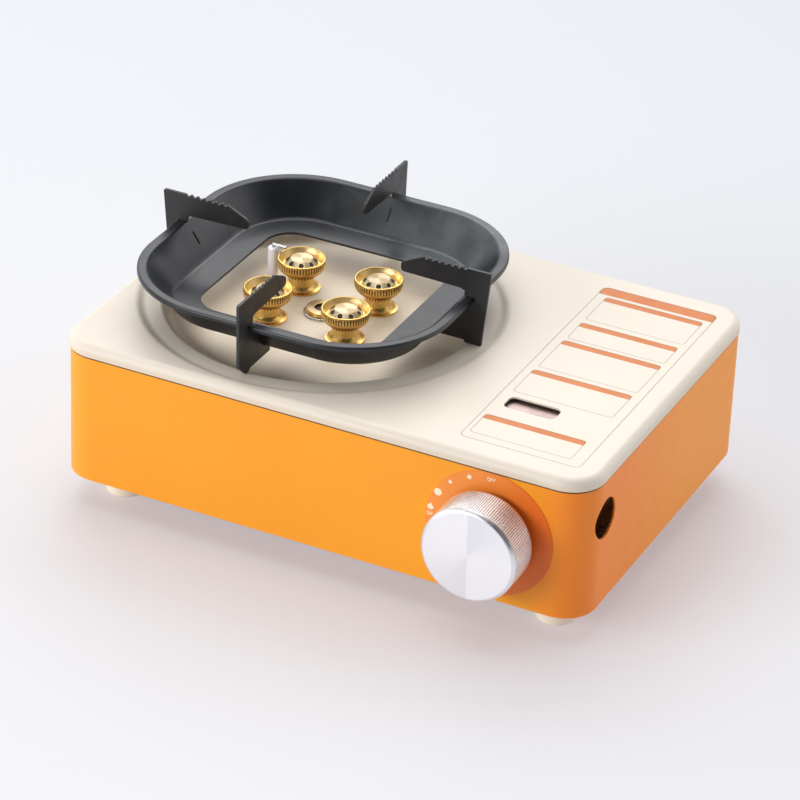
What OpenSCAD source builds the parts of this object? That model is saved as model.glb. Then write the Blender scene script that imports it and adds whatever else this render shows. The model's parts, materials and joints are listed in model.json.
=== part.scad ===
// Butane cassette stove. Millimetres. X runs along the long side, -Y is the knob side, Z is up.

/* [Body] */
// Width of the body
body_w = 300; // [290:1:320]
// Depth of the body
body_d = 208; // [200:1:230]
// Height of the body wall
body_h = 74; // [73:1:80]
// Outer radius of the body corners, seen from above
corner_r = 18; // [12:1:24]
// Thickness of the steel sheet
sheet = 1; // [0.8:0.1:1.2]
// Width of the flanges folded inward at the top and bottom of the wall
flange_w = 8; // [6:1:10]

/* [Feet] */
// Diameter of a foot
foot_d = 21; // [16:1:26]
// Height that the feet stand below the wall
foot_h = 17; // [12:1:20]
// Distance from the body's end to the foot's axis
foot_inset_x = 25; // [20:1:30]
// Distance from the body's front or back to the foot's axis
foot_inset_y = 28; // [22:1:32]

/* [Lid] */
// Height of the lid above the wall
lid_h = 6.5; // [6:0.5:8]
// Radius of the lid's rolled edge
lid_edge_r = 4.5; // [3:0.5:5]
// Overhang of the lid over the wall
lid_overhang = 0.5; // [0.2:0.1:0.8]

/* [Dish] */
// Distance of the burner axis to the left of the body centre
burner_off = 50; // [48:1:54]
// Radius of the dish's rim line
dish_r = 85.6; // [84:0.2:88]
// Depth of the dish floor below the lid's top
dish_depth = 7; // [6:0.5:8]
// Depth of the seat for the pan supports' feet below the lid's top
seat_depth = 1.6; // [1:0.1:2]
// Outer radius of the seat
seat_r = 92.6; // [92:0.2:94]
// Radius where the shoulder meets the flat lid
shoulder_r = 99.4; // [98:0.2:100]

/* [Valve window] */
// Length of the slot over the valve
window_l = 28.5; // [20:0.5:30]
// Width of the slot over the valve
window_w = 12; // [8:1:14]
// Distance of the slot's middle to the left of the valve axis
window_off = 4.5; // [0:0.5:8]
// Distance of the slot's middle from the front of the body
window_y = 56.5; // [52:0.5:62]

/* [Tray] */
// Width of the tray over its rim
tray_w = 174; // [170:1:178]
// Depth of the tray over its rim
tray_d = 172; // [168:1:176]
// Outer corner radius of the rim
tray_r = 56; // [50:1:60]
// Height of the rim's top above the lid's top
rim_rise = 25.9; // [24:0.1:28]
// Width of the flat rim
rim_w = 5.2; // [4:0.2:7]
// Depth of the tray from rim to floor
tray_depth = 18.4; // [16:0.2:20]
// Distance that the wall slants inward on its way down
wall_run = 13.3; // [10:0.1:15]
// Width of the opening in the tray floor
opening_w = 104.6; // [100:0.2:110]
// Depth of the opening in the tray floor
opening_d = 100; // [96:1:106]
// Corner radius of the opening
opening_r = 16; // [10:1:24]
// Thickness of the tray sheet
tray_t = 1.5; // [1.2:0.1:2]

/* [Pan supports] */
// Thickness of the support plates
support_t = 1.6; // [1.2:0.1:2]
// Height of a support from its foot to the pan
support_h = 43; // [42:0.5:46]
// Radius of a support's outer top corner
support_ro = 95.8; // [94:0.2:97]
// Radius of a support's outer edge at the foot
foot_ro = 92; // [91.2:0.1:92.4]
// Radius where the bottom edge of the front and rear supports starts to rise outward
foot_rise_r = 87; // [86.5:0.1:89]
// Radius of the outer edge of the front and rear supports, where that rise ends
foot_rise_ro = 94.6; // [93:0.1:95.4]
// Height of that rise at the outer edge
foot_rise_h = 6.5; // [4:0.5:8]
// Radius of a support's nose
nose_r = 44.7; // [43:0.1:48]
// Number of teeth on the top edge
teeth = 7; // [4:1:9]
// Radius where the row of teeth starts
teeth_ro = 83; // [80:0.5:86]
// Radius where the row of teeth ends
teeth_ri = 57; // [54:0.5:62]
// Depth of the gaps between the teeth
tooth_h = 1.1; // [0.8:0.1:1.5]
// Height of a support's arm
arm_h = 11.6; // [10:0.2:13]

/* [Burners] */
// Distance between the burners' axes, left to right
burner_px = 45.8; // [42:0.2:50]
// Distance between the burners' axes, front to back
burner_py = 38.2; // [34:0.2:42]
// Radius of a burner head
head_r = 13; // [12:0.1:14]
// Height of a burner, from the dish floor to its rim
burner_h = 18; // [17:0.5:19]
// Number of gas holes in a head
gas_holes = 8; // [6:1:10]
// Diameter of a gas hole
gas_hole_d = 2.4; // [1.6:0.1:2.6]
// Number of ribs in the knurled band
knurls = 48; // [30:2:60]

/* [Igniter] */
// Distance of the electrode from the burner axis, to the left
spark_x = 41; // [40:0.5:43]
// Distance of the electrode from the burner axis, to the back
spark_y = 21; // [19:0.5:23]
// Diameter of the ceramic tube
ceramic_d = 5.8; // [4:0.2:6.4]
// Height of the ceramic tube above the dish floor
ceramic_h = 19; // [17:0.5:21]
// Travel of the piezo plunger over the knob's turn
plunger_travel = 5; // [3:0.5:6]

/* [Knob and valve] */
// Distance of the valve axis to the right of the heat shield
valve_off = 45.1; // [43:0.1:48]
// Height of the valve axis above the wall's lower edge
valve_h = 38.5; // [38:0.5:40]
// Diameter of the knob
knob_d = 52; // [46:1:58]
// Length of the knob
knob_l = 21.4; // [16:0.2:24]
// Gap between the knob and the dial disc
knob_gap = 3.7; // [1.5:0.1:5]
// Diameter of the dial disc
dial_d = 69.6; // [66:0.2:74]
// Thickness of the dial disc
dial_t = 0.4; // [0.3:0.1:0.6]
// Radius of the valve spindle
spindle_r = 4; // [3:0.5:4.5]
// Running clearance round the spindle
run_gap = 0.05; // [0.02:0.01:0.1]

/* [Ports] */
// Radius of the round opening for the cartridge in the back wall
port_r = 34.2; // [33.5:0.1:34.4]
// Radius of the round hole in the right-hand wall
side_hole_r = 11.1; // [8:0.1:12]
// Distance of that hole behind the front of the body
side_hole_y = 23.3; // [22:0.1:26]
// Height of that hole above the wall's lower edge
side_hole_h = 50.8; // [48:0.1:52]

/* [Hidden] */
// Smoothness of round forms
$fn = 64;
// Clearance between pieces that lift or turn apart
rest_gap = 0.3;
// Clearance between pieces that are fitted together
fit_gap = 0.1;
// Reach of a cut beyond the piece that it cuts
over = 1;

// Main levels
wall_z0 = foot_h;
wall_z1 = wall_z0 + body_h;
lid_z = wall_z1 + lid_h;
base_z0 = wall_z0 + sheet;
base_z1 = base_z0 + sheet;
floor_z = lid_z - dish_depth;
under_z = floor_z - sheet;
seat_z = lid_z - seat_depth;
foot_z = seat_z + rest_gap;
pan_z = foot_z + support_h;
rim_z = lid_z + rim_rise;
tray_z = rim_z - tray_depth;
head_z = floor_z + burner_h;
valve_z = wall_z0 + valve_h;

// Main positions
front_y = -body_d / 2;
in_x = body_w / 2 - sheet;
in_y = body_d / 2 - sheet;
burner_x = -burner_off;
shield_gap = 3;
shield_x = burner_x + shoulder_r + shield_gap;
valve_x = shield_x + valve_off;
knob_y1 = front_y - dial_t - knob_gap;
knob_y0 = knob_y1 - knob_l;
place_y = (front_y - knob_y0 - lid_overhang) / 2;
window_cy = front_y + window_y;

// Valve group, from front to back
reg_w = 38;
reg_y0 = front_y + 12;
reg_l = 34;
reg_y1 = reg_y0 + reg_l;
bracket_t = 1.5;
bracket_y1 = reg_y1 + bracket_t;
bracket_w = 66;
bracket_top_w = 40;
bracket_top_z = lid_z - sheet - 1.5;
bracket_top_l = 22;
bracket_foot_l = 20;
bracket_foot_w = 44;
boss_r = 12;
boss_l = 5;
collar_ri = 16;
collar_ro = 24;
collar_l = 4;
magnet_r = 5;
magnet_off = 29;
cover_r = 16.8;
cover_l = 8;
outlet_arm = 6;
outlet_x = valve_x - reg_w / 2 - outlet_arm;
outlet_y = reg_y1 - 12;
outlet_z = valve_z + 11;
cam_r = 7;
cam_y0 = front_y + 3;
cam_l = 6;
cam_gap = 0.5;
piezo_r = 4.2;
piezo_x1 = valve_x - cam_r - cam_gap - plunger_travel - 2.5;
piezo_l = 27;
piezo_y = cam_y0 + cam_l / 2;
plunger_r = 2.6;
plunger_l = 20;
plunger_x1 = valve_x - cam_r - cam_gap;

// Burner space
mix_z = under_z - 8.5;
mix_r = 7;
lobe_r = 9;
manifold_z0 = mix_z - 9;
manifold_x1 = burner_x + burner_px / 2 + 16;
stub_r = 5;
mouth_x = shield_x - 16;
tube_r = 2.5;
tube_bend = 8;
tube_z = mix_z;
strip_w = 20;
strip_t = 1.5;
strip_y = -28;
cradle_t = 1;
cradle_y0 = bracket_y1 + 10;
cradle_y1 = in_y - 1;

// ---------- shared forms ----------

// Points on an arc about (cx, cy) from angle a0 to a1, in n steps
function arc(cx, cy, r, a0, a1, n = 8) =
    [for (i = [0:n]) let (a = a0 + (a1 - a0) * i / n) [cx + r * cos(a), cy + r * sin(a)]];

// Moves the body-centred model so that the origin is in the middle of its footprint
module place() {
    translate([0, place_y, 0]) children();
}

// Rectangle with round corners
module round_rect(w, d, r) {
    square([w - 2 * r, d], center = true);
    square([w, d - 2 * r], center = true);
    for (x = [-1, 1], y = [-1, 1])
        translate([x * (w / 2 - r), y * (d / 2 - r)]) circle(r);
}

// Half of a rectangle's size across and along the side that faces angle a
function half_size(w, d, a) = (a == 0 || a == 180) ? [w / 2, d / 2] : [d / 2, w / 2];

// Straight run of a profile along the side that faces angle a; its x runs outward from the edge, its y up
module frame_side(w, d, r, a) {
    h = half_size(w, d, a);
    rotate([0, 0, a]) translate([h[0], h[1] - r, 0]) rotate([90, 0, 0]) linear_extrude(2 * (h[1] - r)) children();
}

// Round run of the profile at the corner that follows that side, anticlockwise
module frame_corner(w, d, r, a) {
    h = half_size(w, d, a);
    rotate([0, 0, a]) translate([h[0] - r, h[1] - r, 0]) rotate_extrude(angle = 90) translate([r, 0]) children();
}

// Sweeps a profile round a rectangle with round corners
module swept_frame(w, d, r) {
    for (a = [0:90:270]) {
        frame_side(w, d, r, a) children();
        frame_corner(w, d, r, a) children();
    }
}

// Cylinder along Y from y0 to y1, about the valve axis
module valve_cyl(r, y0, y1) {
    translate([valve_x, y1, valve_z]) rotate([90, 0, 0]) cylinder(r = r, h = y1 - y0);
}

// Straight round bar between two points
module bar(p, q, r) {
    v = q - p;
    translate(p) rotate([0, acos(v[2] / norm(v)), atan2(v[1], v[0])]) cylinder(r = r, h = norm(v));
}

// Round bar through a list of points, with slightly larger ball joints at the bends
module bent_bar(pts, r) {
    for (i = [0:len(pts) - 2]) bar(pts[i], pts[i + 1], r);
    for (i = [1:len(pts) - 2]) translate(pts[i]) sphere(r + 0.1);
}

// Repeats a piece at the four burners
module at_burners() {
    for (x = [-1, 1], y = [-1, 1])
        translate([burner_x + x * burner_px / 2, y * burner_py / 2, 0]) children();
}

// ---------- body ----------

// Wall in section, with the bends that lead to its two folded flanges
module wall_profile() {
    translate([-sheet, wall_z0 + sheet]) square([sheet, body_h - 2 * sheet]);
    intersection() {
        translate([-sheet, wall_z0]) square([sheet, body_h]);
        for (z = [wall_z0 + sheet, wall_z1 - sheet]) translate([-sheet, z]) circle(sheet);
    }
}

module wall_front() {
    color("orange") place() difference() {
        frame_side(body_w, body_d, corner_r, 270) wall_profile();
        valve_cyl(spindle_r + 2, front_y - over, front_y + sheet + over);
    }
}

module wall_left() {
    color("orange") place() frame_side(body_w, body_d, corner_r, 180) wall_profile();
}

// Rear wall with the round port for the cartridge
module wall_rear() {
    color("orange") place() difference() {
        frame_side(body_w, body_d, corner_r, 90) wall_profile();
        valve_cyl(port_r, in_y - over, in_y + sheet + over);
    }
}

// Where the right wall takes over from the corner, just in front of the round hole
side_seam_gap = 1.2;
side_seam_y = front_y + side_hole_y - side_hole_r - side_seam_gap;

// Right wall and front right corner, on one side of that line
module right_part(y0, l) {
    intersection() {
        union() {
            frame_side(body_w, body_d, corner_r, 0) wall_profile();
            frame_corner(body_w, body_d, corner_r, 270) wall_profile();
        }
        translate([0, y0, wall_z0 - over]) cube([body_w, l, body_h + 2 * over]);
    }
}

module wall_right() {
    color("orange") place() difference() {
        right_part(side_seam_y, body_d);
        translate([body_w / 2 - sheet - over, front_y + side_hole_y, wall_z0 + side_hole_h])
            rotate([0, 90, 0]) cylinder(r = side_hole_r, h = sheet + 2 * over);
    }
}

// The four round corners of the wall
module wall_corners() {
    color("orange") place() {
        for (a = [0, 90, 180]) frame_corner(body_w, body_d, corner_r, a) wall_profile();
        right_part(side_seam_y - body_d, body_d);
    }
}

// Folded flange round the inside of the wall, with its lower face at height z
module flange(z) {
    color("orange") place() swept_frame(body_w, body_d, corner_r) translate([-flange_w, z]) square([flange_w - sheet, sheet]);
}

module flange_top() { flange(wall_z1 - sheet); }
module flange_bottom() { flange(wall_z0); }

slot_l = 40;
slot_w = 5;
slot_pitch = 12;
slot_rows = 8;

// One air slot with round ends
module air_slot() {
    square([slot_l - slot_w, slot_w], center = true);
    for (s = [-1, 1]) translate([s * (slot_l - slot_w) / 2, 0]) circle(slot_w / 2);
}

module base_plate() {
    color("silver") place() difference() {
        translate([0, 0, base_z0]) linear_extrude(sheet) difference() {
            round_rect(body_w - 2 * (sheet + rest_gap), body_d - 2 * (sheet + rest_gap), corner_r - sheet - rest_gap);
            for (i = [0:slot_rows - 1], s = [-1, 1])
                translate([burner_x + s * slot_l * 0.75, (i - (slot_rows - 1) / 2) * slot_pitch]) air_slot();
            at_feet() circle(foot_stud_r + fit_gap);
            at_base_screws() circle(screw_r + fit_gap);
        }
    }
}

screw_r = 1.5;
screw_head_r = 3;
screw_head_h = 1.5;
screw_off = 11;

// Places of the screws that hold the base plate to the lower flange
module at_base_screws() {
    for (x = [-body_w / 4, 0, valve_x - screw_off], y = [-1, 1])
        translate([x, y * (body_d / 2 - flange_w / 2 - sheet / 2)]) children();
}

// Screws from above, through the base plate and resting on it
module base_screws() {
    color("silver") place() at_base_screws() {
        translate([0, 0, base_z1]) cylinder(r = screw_head_r, h = screw_head_h);
        translate([0, 0, base_z0]) cylinder(r = screw_r, h = sheet);
    }
}

foot_stud_r = 3;

// Places of the feet, for flat holes
module at_feet() {
    for (x = [-1, 1], y = [-1, 1])
        translate([x * (body_w / 2 - foot_inset_x), y * (body_d / 2 - foot_inset_y)]) children();
}

// Foot with a round lower edge and a stud pressed into the base plate
module foot(sx, sy) {
    edge = 1.2;
    color("wheat") place()
        translate([sx * (body_w / 2 - foot_inset_x), sy * (body_d / 2 - foot_inset_y), 0]) rotate_extrude() {
            polygon(concat([[0, 0]], arc(foot_d / 2 - edge, edge, edge, -90, 0, 6), [[foot_d / 2, base_z0], [0, base_z0]]));
            square([foot_stud_r, base_z1]);
        }
}

module foot_front_left() { foot(-1, -1); }
module foot_front_right() { foot(1, -1); }
module foot_rear_left() { foot(-1, 1); }
module foot_rear_right() { foot(1, 1); }

// ---------- lid ----------

// Solid block with the lid's rolled edge, drawn in by t
module lid_block(t) {
    w = body_w + 2 * (lid_overhang - t);
    d = body_d + 2 * (lid_overhang - t);
    r = corner_r + lid_overhang - t;
    e = lid_edge_r - t;
    translate([0, 0, wall_z1]) linear_extrude(lid_h - lid_edge_r) round_rect(w, d, r);
    translate([0, 0, wall_z1]) linear_extrude(lid_h - t) round_rect(w - 2 * e, d - 2 * e, r - e);
    swept_frame(w - 2 * e, d - 2 * e, r - e)
        translate([0, lid_z - lid_edge_r]) intersection() {
            circle(e);
            square(e);
        }
}

// Surface of the dish in section, from its floor to the flat lid, let down by t
floor_a = 52;
bend_r = 4;
function dish_curve(t) = let (
    // round S from the flat lid down to the seat
    dr = (shoulder_r - seat_r) / 2,
    s_r = (dr * dr + seat_depth * seat_depth / 4) / seat_depth,
    s_a = asin(dr / s_r),
    // bend from the seat down to the slope
    bx = dish_r,
    bz = seat_z - bend_r,
    ex = bx - bend_r * sin(floor_a),
    ez = bz + bend_r * cos(floor_a),
    // fillet from the slope to the floor
    f_r = 5,
    fz = floor_z + f_r,
    sz = fz - f_r * cos(floor_a),
    sx = ex - (ez - sz) / tan(floor_a),
    fx = sx - f_r * sin(floor_a)
) concat(
    arc(fx, fz, f_r + t, -90, -90 + floor_a, 6),
    arc(bx, bz, bend_r - t, 90 + floor_a, 90, 8),
    arc(seat_r, seat_z + s_r, s_r + t, -90, -90 + s_a, 8),
    arc(shoulder_r, lid_z - s_r, s_r - t, 90 + s_a, 90, 8));

// Space above the dish surface, let down by t
module dish_space(t) {
    translate([burner_x, 0, 0]) rotate_extrude($fn = 128) polygon(concat(
        [[0, floor_z - t]],
        dish_curve(t),
        t > 0 ? [[shoulder_r + t, lid_z - t]] : [],
        [[shoulder_r + t, lid_z + over], [0, lid_z + over]]));
}

module lid() {
    color("antiquewhite") place() difference() {
        union() {
            difference() {
                lid_block(0);
                translate([0, 0, -0.01]) lid_block(sheet);
            }
            intersection() {
                union() {
                    lid_block(0);
                    translate([burner_x, 0, under_z]) cylinder(r = dish_r, h = lid_h);
                }
                dish_space(sheet);
            }
        }
        dish_space(0);
        translate([valve_x - window_off, window_cy, lid_z - sheet - over])
            linear_extrude(sheet + 2 * over) round_rect(window_l, window_w, 3.5);
        translate([0, 0, under_z - over]) linear_extrude(sheet + 2 * over) {
            at_burners() circle(stub_r + fit_gap);
            translate([burner_x, 0]) circle(plug_shank_r + fit_gap);
            translate([burner_x - spark_x, spark_y]) circle(ceramic_d / 2 + fit_gap);
        }
    }
}

// ---------- tray and pan supports ----------

lip_h = 2.6;
rim_bend = 2.2;
floor_bend = 3;
wall_k = wall_run / tray_depth;
wall_a = atan(1 / wall_k);
tray_flat_x = rim_w + wall_run + floor_bend * tan(wall_a / 2);

// Pressed sheet of the tray in section: turned lip, flat rim, slanted wall, start of the floor
module tray_profile() {
    t = tray_t;
    bx = -rim_w + rim_bend * tan(wall_a / 2);
    fx = -tray_flat_x;
    polygon(concat(
        arc(-1, rim_z - 1, 1, 0, 90, 5),
        arc(bx, rim_z - rim_bend, rim_bend, 90, 90 + wall_a, 6),
        arc(fx, tray_z + floor_bend, floor_bend, -90 + wall_a, -90, 6),
        arc(fx, tray_z + floor_bend, floor_bend + t, -90, -90 + wall_a, 6),
        arc(bx, rim_z - rim_bend, rim_bend - t, 90 + wall_a, 90, 3),
        [[-t, rim_z - t], [-t, rim_z - lip_h], [0, rim_z - lip_h]]));
}

// Places the four supports: the angle, and half the tray's size that way
module at_support(a) {
    translate([burner_x, 0, 0]) rotate([0, 0, a]) children();
}
function tray_half(a) = (a == 0 || a == 180 ? tray_w : tray_d) / 2;

tab_z1 = rim_z - 5;
tab_z0 = rim_z - 11;

module tray() {
    color("darkslategray") place() difference() {
        translate([burner_x, 0, 0]) {
            swept_frame(tray_w, tray_d, tray_r) tray_profile();
            translate([0, 0, tray_z - tray_t]) linear_extrude(tray_t) difference() {
                round_rect(tray_w - 2 * tray_flat_x, tray_d - 2 * tray_flat_x, tray_r - tray_flat_x);
                round_rect(opening_w, opening_d, opening_r);
            }
        }
        for (a = [0:90:270]) at_support(a)
            translate([tray_half(a) - rim_w - wall_run, -support_t / 2 - fit_gap, tab_z0 - fit_gap])
                cube([wall_run + 2, support_t + 2 * fit_gap, tab_z1 - tab_z0 + 2 * fit_gap]);
    }
}

nose_drop = 7;
web_ri = 61;
web_rise = 1.4;
pad_w = 9.5;

// Radius of the slanted wall's upper face at height z, moved out by t
function wall_x(half, z, t) = half - rim_w - (rim_z - z) * wall_k + t * sqrt(1 + wall_k * wall_k);

// Round gaps between the teeth on the top edge, from outside to inside
function tooth_gaps() = let (p = (teeth_ro - teeth_ri) / teeth) [
    for (i = [0:teeth - 1]) let (x = teeth_ro - p * (i + 0.5))
        for (a = [0:36:180]) [x + 0.34 * p * cos(a), pan_z - tooth_h * sin(a)]];

// Bottom edge of a support: a stepped pad at the sides, a rising outer end at the front and rear
function support_foot(rising) = rising
    ? [[web_ri, foot_z + web_rise], [foot_ro - pad_w, foot_z + web_rise], [foot_ro - pad_w + web_rise, foot_z],
        [foot_rise_r, foot_z], [foot_rise_ro, foot_z + foot_rise_h]]
    : [[web_ri, foot_z + web_rise], [foot_ro - pad_w, foot_z + web_rise], [foot_ro - pad_w, foot_z], [foot_ro, foot_z]];

// Side view of a pan support: toothed arm, hook over the rim, leg, web under the tray and foot
function support_outline(half, rising) = let (
    g = fit_gap,
    under = tray_z - tray_t - g,
    lip_z = rim_z - lip_h - g,
    arm_z = pan_z - arm_h,
    step_x = half - rim_w - 0.4
) concat(
    arc(support_ro - 1.2, pan_z - 1.2, 1.2, 0, 90, 4),
    tooth_gaps(),
    [[nose_r + 1.5, pan_z - nose_drop + 1.5]],
    [[nose_r, pan_z - nose_drop]],
    arc(nose_r + 2, arm_z + 2.2, 2, 180, 260, 4),
    [[step_x - 2.5, arm_z - 0.5]],
    [[step_x, arm_z - 1.5], [step_x, rim_z]],
    [[half + g, rim_z], [half + g, lip_z]],
    [[wall_x(half, lip_z, tray_t + g), lip_z]],
    [[wall_x(half, tab_z1, tray_t + g), tab_z1], [wall_x(half, tab_z1, -0.5), tab_z1]],
    [[wall_x(half, tab_z0, -0.5), tab_z0], [wall_x(half, tab_z0, tray_t + g), tab_z0]],
    [[wall_x(half, under, tray_t + g), under], [web_ri, under]],
    support_foot(rising));

module support(a) {
    color("dimgray") place() at_support(a)
        translate([0, support_t / 2, 0]) rotate([90, 0, 0])
            linear_extrude(support_t) polygon(support_outline(tray_half(a), a == 90 || a == 270));
}

module support_right() { support(0); }
module support_rear() { support(90); }
module support_left() { support(180); }
module support_front() { support(270); }

// ---------- burners ----------

neck_r = 6.9;
spigot_r = 5;
neck_z = head_z - 10;
band_h = 3;
hole_a = 55;

// Turned head in section: rim, bowl with its sunk cone, gas chamber, underside
module head_profile() {
    polygon([
        [spigot_r + fit_gap, neck_z], [neck_r + 1.1, neck_z], [neck_r + 1.5, neck_z + 0.5], [neck_r + 1.3, neck_z + 1],
        [head_r - 1, head_z - 6], [head_r - 0.3, head_z - 5], [head_r - 0.3, head_z - 4.3],
        [head_r - 0.5, head_z - 4], [head_r - 0.5, head_z - 1], [head_r, head_z - 0.8], [head_r - 0.1, head_z - 0.2],
        [head_r - 0.3, head_z], [head_r - 1.1, head_z], [head_r - 1.4, head_z - 0.4], [head_r - 2.9, head_z - 4.4],
        [head_r - 3.6, head_z - 4.6], [head_r - 6.2, head_z - 0.8], [0, head_z - 0.8],
        [0, head_z - 2.2], [head_r - 7.3, head_z - 2.2], [head_r - 5.1, head_z - 5.4], [head_r - 5.1, head_z - 7.2],
        [spigot_r + fit_gap, neck_z + 1.6]]);
}

module burner_head(sx, sy) {
    color("gold") place()
        translate([burner_x + sx * burner_px / 2, sy * burner_py / 2, 0]) difference() {
            union() {
                rotate_extrude() head_profile();
                // knurled band
                translate([0, 0, head_z - 1 - band_h]) linear_extrude(band_h) difference() {
                    polygon([for (i = [0:2 * knurls - 1]) let (r = head_r - (i % 2) * 0.45, a = i * 180 / knurls)
                        [r * cos(a), r * sin(a)]]);
                    circle(head_r - 1);
                }
            }
            for (i = [0:gas_holes - 1])
                rotate([0, 0, (i + 0.5) * 360 / gas_holes]) translate([head_r - 4.9, 0, head_z - 2.7])
                    rotate([0, hole_a, 0]) translate([0, 0, -2]) cylinder(d = gas_hole_d, h = 4, $fn = 24);
        }
}

module burner_head_fl() { burner_head(-1, -1); }
module burner_head_fr() { burner_head(1, -1); }
module burner_head_rl() { burner_head(-1, 1); }
module burner_head_rr() { burner_head(1, 1); }

// Turned stem: spigot in the head, neck, flared foot on the dish floor, stub in the manifold
module burner_stem(sx, sy) {
    flare = 3.6;
    color("goldenrod") place()
        translate([burner_x + sx * burner_px / 2, sy * burner_py / 2, 0]) rotate_extrude() difference() {
            polygon(concat(
                [[0, floor_z - 5], [stub_r, floor_z - 5], [stub_r, floor_z], [neck_r + flare, floor_z]],
                arc(neck_r + flare, floor_z + 0.8 + flare, flare, -90, -180, 6),
                [[neck_r, neck_z], [spigot_r, neck_z], [spigot_r, neck_z + 1.6], [0, neck_z + 1.6]]));
            translate([0, floor_z - 6]) square([spigot_r - 1.4, head_z - floor_z]);
        }
}

module burner_stem_fl() { burner_stem(-1, -1); }
module burner_stem_fr() { burner_stem(1, -1); }
module burner_stem_rl() { burner_stem(-1, 1); }
module burner_stem_rr() { burner_stem(1, 1); }

plug_r = 9.3;
plug_shank_r = 3;
washer_t = 1.2;
plug_h = 2.2;

module centre_plug() {
    color("gold") place() translate([burner_x, 0, 0]) difference() {
        rotate_extrude() {
            translate([0, floor_z + washer_t]) polygon(concat([[0, 0], [plug_r, 0]], arc(plug_r - 1, plug_h - 1, 1, 0, 90, 4), [[0, plug_h]]));
            translate([0, mix_z - 1]) square([plug_shank_r, floor_z + washer_t - mix_z + 1 + 0.5]);
        }
        translate([0, 0, floor_z + washer_t + 0.6]) cylinder(r = 3.6, h = plug_h, $fn = 6);
    }
}

module centre_washer() {
    color("silver") place() translate([burner_x, 0, floor_z]) rotate_extrude() difference() {
        polygon(concat([[plug_shank_r + fit_gap, 0], [plug_r + 1, 0]], arc(plug_r + 0.5, washer_t - 0.5, 0.5, 0, 90, 3), [[plug_shank_r + fit_gap, washer_t]]));
    }
}

// Cast chamber under the dish, feeding the four stems
module manifold() {
    h = under_z - manifold_z0;
    color("lightgray") place() difference() {
        translate([0, 0, manifold_z0]) linear_extrude(h) {
            at_burners() circle(lobe_r);
            translate([burner_x, 0]) circle(lobe_r);
            for (a = [-1, 1]) translate([burner_x, 0])
                rotate([0, 0, a * atan2(burner_py, burner_px)])
                    square([norm([burner_px, burner_py]), 10], center = true);
            translate([burner_x, -mix_r - 2]) square([manifold_x1 - burner_x, 2 * (mix_r + 2)]);
        }
        at_burners() translate([0, 0, floor_z - 5.5]) cylinder(r = stub_r + fit_gap, h = 20);
        at_burners() translate([0, 0, mix_z - 3]) cylinder(r = 3.5, h = 20);
        translate([burner_x, 0, mix_z - 2]) cylinder(r = plug_shank_r + fit_gap, h = 20);
        translate([manifold_x1 - 12, 0, mix_z]) rotate([0, 90, 0]) cylinder(r = mix_r + fit_gap, h = 20);
    }
}

// Venturi tube with a flared mouth and two air slots
module mixer_tube() {
    x0 = manifold_x1 - 12;
    l = mouth_x - x0;
    wall = 0.8;
    color("silver") place() difference() {
        translate([x0, 0, mix_z]) rotate([0, 90, 0]) rotate_extrude() polygon([
            [mix_r - wall, 0], [mix_r, 0], [mix_r, l - 5], [mix_r + 2, l], [mix_r + 2 - wall, l], [mix_r - wall, l - 5]]);
        for (s = [-1, 1])
            translate([mouth_x - 16, s * mix_r - 2, mix_z - 3]) cube([8, 4, 6]);
    }
}

// Brass injector with its hexagon against the heat shield
module injector_nozzle() {
    color("gold") place() translate([shield_x, 0, mix_z]) rotate([0, 90, 0]) difference() {
        union() {
            translate([0, 0, -6]) cylinder(r = 6, h = 6, $fn = 6);
            translate([0, 0, -14]) cylinder(r1 = 1.6, r2 = 4, h = 8);
            cylinder(r = 4, h = sheet + 4);
        }
        translate([0, 0, -8]) cylinder(r = 1.4, h = 20);
    }
}

// Gas pipe from the regulator's outlet, up and round to the injector
module gas_tube() {
    x0 = shield_x + sheet + 4;
    bx = outlet_x - tube_bend;
    y1 = outlet_y + tube_bend;
    color("peru") place() {
        translate([x0, 0, tube_z]) rotate([0, 90, 0]) cylinder(r = tube_r, h = bx - x0);
        translate([bx, -tube_bend, tube_z]) rotate_extrude(angle = 90) translate([tube_bend, 0]) circle(tube_r);
        translate([outlet_x, -tube_bend, tube_z]) rotate([90, 0, 0]) cylinder(r = tube_r, h = -tube_bend - y1);
        translate([outlet_x, y1, tube_z - tube_bend]) rotate([0, -90, 0]) rotate([180, 0, 0])
            rotate_extrude(angle = 90) translate([tube_bend, 0]) circle(tube_r);
        translate([outlet_x, outlet_y, outlet_z]) cylinder(r = tube_r, h = tube_z - tube_bend - outlet_z);
    }
}

// ---------- igniter ----------

wire_r = 0.8;
wire_l = 8;
spark_px = burner_x - spark_x;
ceramic_z0 = floor_z - 8;
ceramic_z1 = floor_z + ceramic_h;

module electrode_ceramic() {
    color("white") place() translate([spark_px, spark_y, 0]) rotate_extrude() difference() {
        polygon(concat([[0, ceramic_z0], [ceramic_d / 2, ceramic_z0]],
            arc(ceramic_d / 2 - 1.2, ceramic_z1 - 1.2, 1.2, 0, 90, 5), [[0, ceramic_z1]]));
        translate([0, ceramic_z0 - 1]) square([wire_r + 0.05, ceramic_z1 - ceramic_z0 + 2]);
    }
}

// Spark wire: up through the ceramic and over towards the burner
module electrode_wire() {
    color("silver") place() bent_bar([
        [spark_px, spark_y, ceramic_z0 - 1], [spark_px, spark_y, ceramic_z1 + 1.2],
        [spark_px + wire_l, spark_y, ceramic_z1 + 1.2]], wire_r);
}

module electrode_clip() {
    color("silver") place() translate([0, 0, under_z - 2]) linear_extrude(2) difference() {
        translate([spark_px, spark_y]) {
            circle(ceramic_d / 2 + 3);
            translate([-4, 0]) square([8, 16]);
        }
        translate([spark_px, spark_y]) circle(ceramic_d / 2 + fit_gap);
    }
}

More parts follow.
